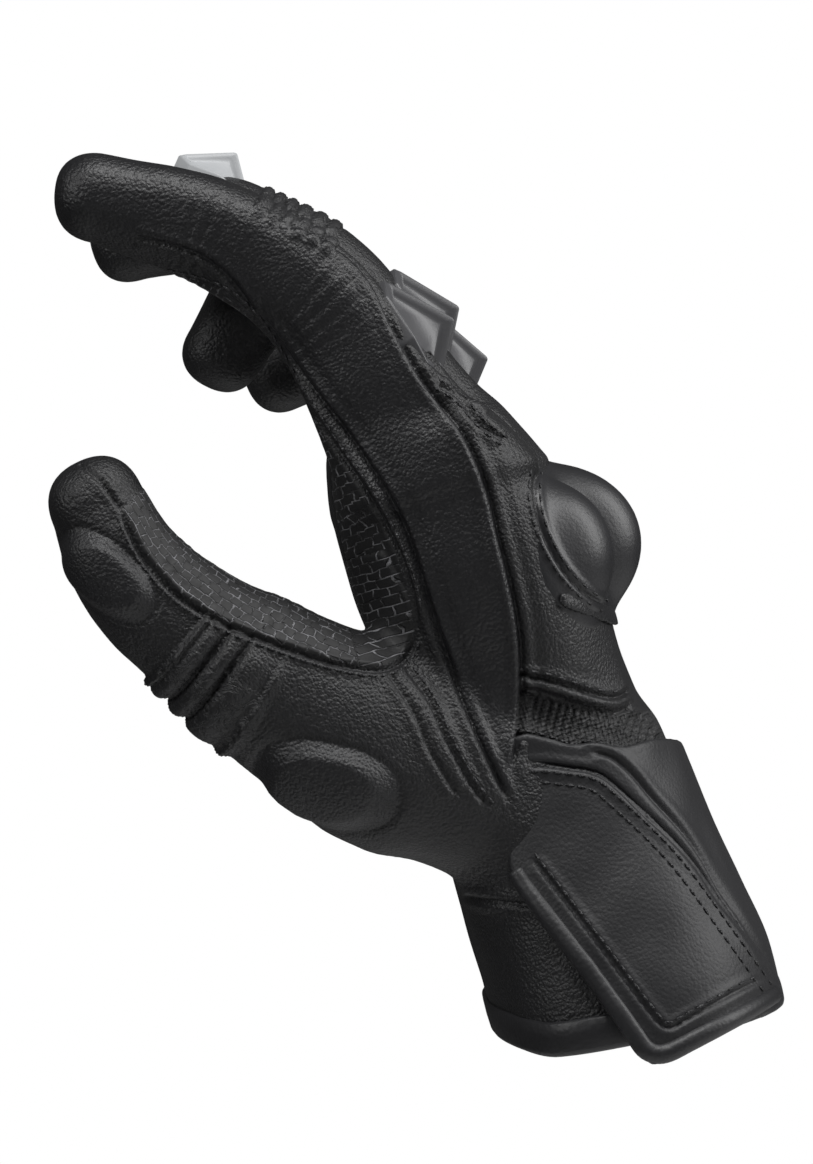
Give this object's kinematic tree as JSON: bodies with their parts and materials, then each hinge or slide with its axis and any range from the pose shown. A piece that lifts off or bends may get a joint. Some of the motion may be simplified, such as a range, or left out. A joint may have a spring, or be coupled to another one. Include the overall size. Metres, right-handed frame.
{
  "type": "motorcycle glove",
  "caption": "Right-hand gauntlet riding glove, pre-curved as round a grip, with moulded knuckle guard, finger caps, stretch panels and a closing cuff flap.",
  "frame": {"origin": "on the forearm's axis, level with the flap's lower edge", "axes": "+Z along the forearm towards the fingers, +X out of the back of the hand, -Y to the thumb's side"},
  "size_m": [0.1367, 0.1175, 0.2307],
  "materials": {
    "cowhide": "black full-grain cowhide, soft satin sheen",
    "smooth_leather": "black smoother leather, slight sheen",
    "padded_leather": "black leather over foam padding",
    "grip_suede": "black grip leather with a raised tile print",
    "knit_lining": "black knitted polyester lining",
    "stretch_fabric": "black ribbed stretch panel",
    "edge_binding": "black folded binding",
    "hook_and_loop": "black hook and loop tape",
    "elastic": "black gathered elastic",
    "guard_shell": "moulded knuckle guard under thin black leather",
    "foam": "grey impact foam",
    "grey_tpu": "satin dark grey moulded polyurethane",
    "light_tpu": "satin light grey moulded polyurethane"
  },
  "bodies": {
    "cuff": {"cuff_palm_panel": "cowhide", "cuff_back_panel": "cowhide", "cuff_lining": "knit_lining", "cuff_hem_binding": "edge_binding", "wrist_elastic": "elastic", "cuff_loop_tape": "hook_and_loop"},
    "flap": {"flap_panel": "smooth_leather", "flap_band": "smooth_leather", "flap_binding": "edge_binding", "flap_hook_tape": "hook_and_loop"},
    "hand": {"palm_panel": "cowhide", "back_panel": "cowhide", "hand_lining": "knit_lining", "knuckle_guard": "guard_shell", "knuckle_foam": "foam", "back_strap": "smooth_leather", "side_panel": "smooth_leather", "palm_grip_patch": "grip_suede"},
    "thumb_base": {"thumb_base_sleeve": "cowhide", "thumb_stretch_panel": "stretch_fabric", "thumb_pad": "padded_leather", "thumb_grip_patch": "grip_suede"},
    "thumb_mid": {"thumb_mid_sleeve": "cowhide", "thumb_mid_lining": "knit_lining"},
    "thumb_tip": {"thumb_tip_sleeve": "cowhide", "thumb_tip_lining": "knit_lining", "thumb_tip_pad": "padded_leather"},
    "index_base": {"index_base_sleeve": "cowhide", "index_base_lining": "knit_lining", "index_knuckle_cap": "grey_tpu"},
    "index_mid": {"index_mid_sleeve": "cowhide", "index_mid_lining": "knit_lining", "index_stretch_panel": "stretch_fabric"},
    "index_tip": {"index_tip_sleeve": "cowhide", "index_tip_lining": "knit_lining"},
    "middle_base": {"middle_base_sleeve": "cowhide", "middle_base_lining": "knit_lining", "middle_knuckle_cap": "grey_tpu"},
    "middle_mid": {"middle_mid_sleeve": "cowhide", "middle_mid_lining": "knit_lining", "middle_stretch_panel": "stretch_fabric"},
    "middle_tip": {"middle_tip_sleeve": "cowhide", "middle_tip_lining": "knit_lining", "middle_tip_cap": "light_tpu"},
    "ring_base": {"ring_base_sleeve": "cowhide", "ring_base_lining": "knit_lining", "ring_knuckle_cap": "grey_tpu"},
    "ring_mid": {"ring_mid_sleeve": "cowhide", "ring_mid_lining": "knit_lining", "ring_stretch_panel": "stretch_fabric"},
    "ring_tip": {"ring_tip_sleeve": "cowhide", "ring_tip_lining": "knit_lining"},
    "little_base": {"little_base_sleeve": "cowhide", "little_base_lining": "knit_lining"},
    "little_mid": {"little_mid_sleeve": "cowhide", "little_mid_lining": "knit_lining", "little_stretch_panel": "stretch_fabric"},
    "little_tip": {"little_tip_sleeve": "cowhide", "little_tip_lining": "knit_lining"}
  },
  "joints": [
    {"name": "wrist_flex", "type": "hinge", "parent": "cuff", "child": "hand", "pos_m": [-0.004, 0, 0.061], "axis": [0, -1, 0], "range_deg": [-14, 14], "stiffness_Nm_per_rad": 3},
    {"name": "flap_open", "type": "hinge", "parent": "cuff", "child": "flap", "pos_m": [0.041, -0.018, 0], "axis": [-0.1875, 0, 0.9823], "range_deg": [0, 110]},
    {"name": "thumb_swing", "type": "hinge", "parent": "hand", "child": "thumb_base", "pos_m": [-0.024, -0.032, 0.07], "axis": [0.2419, -0.9703, 0], "range_deg": [-8, 14], "stiffness_Nm_per_rad": 1.2},
    {"name": "thumb_bend", "type": "hinge", "parent": "thumb_base", "child": "thumb_mid", "pos_m": [-0.06445, -0.04208, 0.10887], "axis": [0.2419, -0.9703, 0], "range_deg": [-18, 10], "stiffness_Nm_per_rad": 0.6},
    {"name": "thumb_tip_bend", "type": "hinge", "parent": "thumb_mid", "child": "thumb_tip", "pos_m": [-0.08003, -0.04597, 0.13181], "axis": [0.2419, -0.9703, 0], "range_deg": [-32, 8], "stiffness_Nm_per_rad": 0.3},
    {"name": "index_knuckle_bend", "type": "hinge", "parent": "hand", "child": "index_base", "pos_m": [-0.007, -0.038, 0.137], "axis": [0, -0.9994, -0.0349], "range_deg": [-15, 30], "stiffness_Nm_per_rad": 0.8},
    {"name": "index_middle_bend", "type": "hinge", "parent": "index_base", "child": "index_mid", "pos_m": [-0.01942, -0.03962, 0.18334], "axis": [0, -0.9994, -0.0349], "range_deg": [-20, 35], "stiffness_Nm_per_rad": 0.4},
    {"name": "index_tip_bend", "type": "hinge", "parent": "index_mid", "child": "index_tip", "pos_m": [-0.04193, -0.04046, 0.20746], "axis": [0, -0.9994, -0.0349], "range_deg": [-12, 21], "stiffness_Nm_per_rad": 0.2},
    {"name": "middle_knuckle_bend", "type": "hinge", "parent": "hand", "child": "middle_base", "pos_m": [-0.005, -0.0127, 0.14], "axis": [0, -1, 0], "range_deg": [-14, 48], "stiffness_Nm_per_rad": 0.8},
    {"name": "middle_middle_bend", "type": "hinge", "parent": "middle_base", "child": "middle_mid", "pos_m": [-0.0171, -0.0127, 0.18851], "axis": [0, -1, 0], "range_deg": [-24, 42], "stiffness_Nm_per_rad": 0.4},
    {"name": "middle_tip_bend", "type": "hinge", "parent": "middle_mid", "child": "middle_tip", "pos_m": [-0.04238, -0.0127, 0.20973], "axis": [0, -1, 0], "range_deg": [-12, 21], "stiffness_Nm_per_rad": 0.2},
    {"name": "ring_knuckle_bend", "type": "hinge", "parent": "hand", "child": "ring_base", "pos_m": [-0.006, 0.0126, 0.134], "axis": [0, -0.9997, 0.0262], "range_deg": [-10, 50], "stiffness_Nm_per_rad": 0.7},
    {"name": "ring_middle_bend", "type": "hinge", "parent": "ring_base", "child": "ring_mid", "pos_m": [-0.00921, 0.0138, 0.17987], "axis": [0, -0.9997, 0.0262], "range_deg": [-40, 28], "stiffness_Nm_per_rad": 0.35},
    {"name": "ring_tip_bend", "type": "hinge", "parent": "ring_mid", "child": "ring_tip", "pos_m": [-0.03432, 0.01418, 0.19437], "axis": [0, -0.9997, 0.0262], "range_deg": [-24, 16.8], "stiffness_Nm_per_rad": 0.18},
    {"name": "little_knuckle_bend", "type": "hinge", "parent": "hand", "child": "little_base", "pos_m": [-0.006, 0.0375, 0.126], "axis": [0, -0.9962, 0.0872], "range_deg": [-8, 50], "stiffness_Nm_per_rad": 0.6},
    {"name": "little_middle_bend", "type": "hinge", "parent": "little_base", "child": "little_mid", "pos_m": [-0.00467, 0.04081, 0.16383], "axis": [0, -0.9962, 0.0872], "range_deg": [-38, 28], "stiffness_Nm_per_rad": 0.3},
    {"name": "little_tip_bend", "type": "hinge", "parent": "little_mid", "child": "little_tip", "pos_m": [-0.02291, 0.04188, 0.17609], "axis": [0, -0.9962, 0.0872], "range_deg": [-22.8, 16.8], "stiffness_Nm_per_rad": 0.15}
  ],
  "couplings": [
    {"joint": "index_tip_bend", "follows": "index_middle_bend", "ratio": 0.6},
    {"joint": "middle_tip_bend", "follows": "middle_middle_bend", "ratio": 0.5},
    {"joint": "ring_tip_bend", "follows": "ring_middle_bend", "ratio": 0.6},
    {"joint": "little_tip_bend", "follows": "little_middle_bend", "ratio": 0.6}
  ]
}
